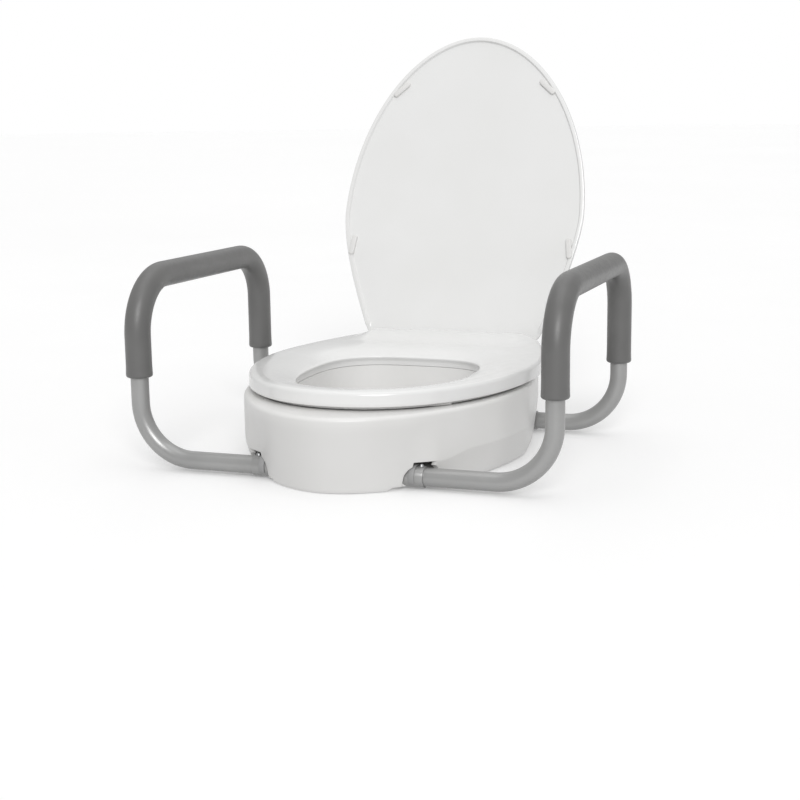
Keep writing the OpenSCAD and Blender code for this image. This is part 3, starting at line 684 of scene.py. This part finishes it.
def foam_grip(side, sign):
    whole = arm_line(front_end_x, rear_end_x, 1 * MM)
    on_front = whole[:, 1] < (front_leg_y + rear_leg_y) / 2
    keep = np.where(on_front, whole[:, 2] > grip_front_z, whole[:, 2] > grip_rear_z)
    gap = np.linalg.norm(np.diff(whole[keep], axis=0), axis=1)
    along = np.r_[0, np.cumsum(gap)]
    total = along[-1]
    curve = 3.5 * MM                 # rounding of the sleeve's ends
    ends = np.array([0.0, 0.15, 0.5, 1.1, 2.0, 3.5, 6, 10, 14]) * MM
    at = np.r_[ends, np.linspace(18 * MM, total - 18 * MM, int(total / (4 * MM))), total - ends[::-1]]
    line = np.column_stack([np.interp(at, along, whole[keep][:, k]) for k in range(3)])
    from_end = np.minimum(at, total - at)
    round_in = curve - np.sqrt(np.clip(curve ** 2 - (curve - np.minimum(from_end, curve)) ** 2, 0, None))
    flare = 0.5 * MM * np.exp(-(from_end / (9 * MM)) ** 2)
    outer = foam_r + flare - round_in
    obj = hollow_tube(f"foam_grip_{side}_shape", line, outer, np.full(len(line), tube_r + 0.1 * MM), 72)
    mirrored(obj, sign)
    shade(obj, 60)
    return dress(obj, foam_grey, "foam_grey", f"arm_{side}", f"foam_grip_{side}")


# Hardware -------------------------------------------------------------------------------------------

spring_share = 0.985             # the springs' height against the CAD's, so they clear a pressed button
lid_stop = 0.8 * MM              # how far over the edge of the seat the closed lid's bumpers start


def refined(node, material, slot, body):
    """A copy of a small CAD piece with its edges rounded over."""
    source = frame["nodes"][node]
    obj = bpy.data.objects.new(node + "_shape", source.data.copy())
    bpy.context.scene.collection.objects.link(obj)
    bm = bmesh.new()
    bm.from_mesh(obj.data)
    bmesh.ops.remove_doubles(bm, verts=bm.verts, dist=0.00001)
    bmesh.ops.dissolve_limit(bm, angle_limit=math.radians(0.5), verts=bm.verts, edges=bm.edges)
    bm.to_mesh(obj.data)
    bm.free()
    if "_spring_" in node:
        low = min(v.co.z for v in obj.data.vertices)
        for v in obj.data.vertices:
            v.co.z = low + spring_share * (v.co.z - low)
    round_edges(obj, 0.4 * MM, 2, 40)
    shade(obj, 35)
    return dress(obj, material, slot, body, node)


riser_shell()
seat_ring()
lid_panel()
bumpers("seat_bumper_set", [(112 * MM, -400 * MM, 40), (150 * MM, -160 * MM, 80)], 30 * MM, 11 * MM,
        deck_z + 0.3 * MM, seat_z + 3.2 * MM, 2 * MM, bumper_white, "bumper_white", "seat", "seat_bumpers")
bumpers("lid_bumper_set", [(111 * MM, -395 * MM, 42), (163 * MM, -157 * MM, 82)], 30 * MM, 8 * MM,
        seat_top + lid_stop, hinge_z + 9.2 * MM, 1.6 * MM, bumper_white, "bumper_white", "lid",
        "lid_bumpers", opened())
for side, sign in SIDES.items():
    arm_tube(side, sign)
    foam_grip(side, sign)

BODY_OF = {n: b for b, nodes in frame["record"]["behaviour"]["bodies"].items() for n in nodes}
SLOT_OF = {s["node"]: s["material_slot"] for s in frame["record"]["subparts"]}
DONE = {"riser_shell", "seat_ring", "lid_panel", "seat_bumpers", "lid_bumpers",
        "arm_tube_left", "arm_tube_right", "foam_grip_left", "foam_grip_right"}
for node in sorted(set(BODY_OF) - DONE):
    slot = SLOT_OF[node]
    piece = refined(node, tube_grey if "_socket_" in node else MATERIALS[slot], slot, BODY_OF[node])
    if "_spring_" in node:              # the leaf spring gets a mesh of its own
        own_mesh(piece)


# Stage ----------------------------------------------------------------------------------------------

def plain_floor():
    """A pale floor on the rim plane, which adds no diffuse light to the part."""
    half = 40
    floor = make("floor", [(-half, -half, 0), (half, -half, 0), (half, half, 0), (-half, half, 0)],
                 [(0, 1, 2, 3)])
    pale = surface("floor_pale", grey(0.90), grey(0.92), (0.6, 0.7), blotch=0.5, grain=300,
                   grain_strength=0.05)
    shader = pale.node_tree.nodes["Principled BSDF"]
    shader.inputs["Emission Color"].default_value = (1, 1, 1, 1)
    shader.inputs["Emission Strength"].default_value = 0.12
    floor.data.materials.append(pale)
    floor.visible_diffuse = False


def backdrop():
    """A white dome far outside, which only the camera sees: it lights nothing."""
    bm = bmesh.new()
    bmesh.ops.create_uvsphere(bm, u_segments=48, v_segments=24, radius=38)
    mesh = bpy.data.meshes.new("backdrop")
    bm.to_mesh(mesh)
    bm.free()
    dome = bpy.data.objects.new("backdrop", mesh)
    bpy.context.scene.collection.objects.link(dome)
    white = bpy.data.materials.new("backdrop_white")
    white.use_nodes = True
    shader = white.node_tree.nodes["Principled BSDF"]
    shader.inputs["Base Color"].default_value = (0, 0, 0, 1)
    shader.inputs["Specular IOR Level"].default_value = 0
    shader.inputs["Emission Color"].default_value = (1, 1, 1, 1)
    shader.inputs["Emission Strength"].default_value = 1.0
    mesh.materials.append(white)
    for ray in ("diffuse", "glossy", "transmission", "volume_scatter", "shadow"):
        setattr(dome, "visible_" + ray, False)


def sun(name, azimuth, elevation, share, spread):
    """A soft sun: share is the light it adds to a white surface that faces it."""
    data = bpy.data.lights.new(name, "SUN")
    data.energy = share * math.pi
    data.angle = math.radians(spread)
    lamp = bpy.data.objects.new(name, data)
    a, e = math.radians(azimuth), math.radians(elevation)
    toward = Vector((math.sin(a) * math.cos(e), -math.cos(a) * math.cos(e), math.sin(e)))
    lamp.rotation_euler = toward.to_track_quat("Z", "Y").to_euler()
    bpy.context.scene.collection.objects.link(lamp)


def camera():
    """The camera, by its place, its direction and a small roll."""
    azimuth, elevation, roll = math.radians(19.865), math.radians(10.908), math.radians(-0.783)
    back = Vector((math.sin(azimuth) * math.cos(elevation), -math.cos(azimuth) * math.cos(elevation),
                   math.sin(elevation)))
    right = Vector((math.cos(azimuth), math.sin(azimuth), 0))
    up = back.cross(right)
    right_r = right * math.cos(roll) + up * math.sin(roll)
    up_r = up * math.cos(roll) - right * math.sin(roll)
    data = bpy.data.cameras.new("camera")
    data.sensor_width = 36
    data.lens = 67.2
    data.clip_end = 100
    cam = bpy.data.objects.new("camera", data)
    turn = Matrix((right_r, up_r, back)).transposed().to_4x4()
    cam.matrix_world = Matrix.Translation((0.6514, -2.0305, 0.4288)) @ turn
    bpy.context.scene.collection.objects.link(cam)
    bpy.context.scene.camera = cam


plain_floor()
backdrop()
camera()
sun("key", 22, 32, 0.46, 30)
sun("top", 0, 86, 0.16, 50)
sun("rear", 196, 50, 0.08, 50)
world = bpy.data.worlds.new("studio")
world.use_nodes = True
world.node_tree.nodes["Background"].inputs["Color"].default_value = (1, 1, 1, 1)
world.node_tree.nodes["Background"].inputs["Strength"].default_value = 0.52
bpy.context.scene.world = world
bpy.context.scene.view_settings.view_transform = "Standard"
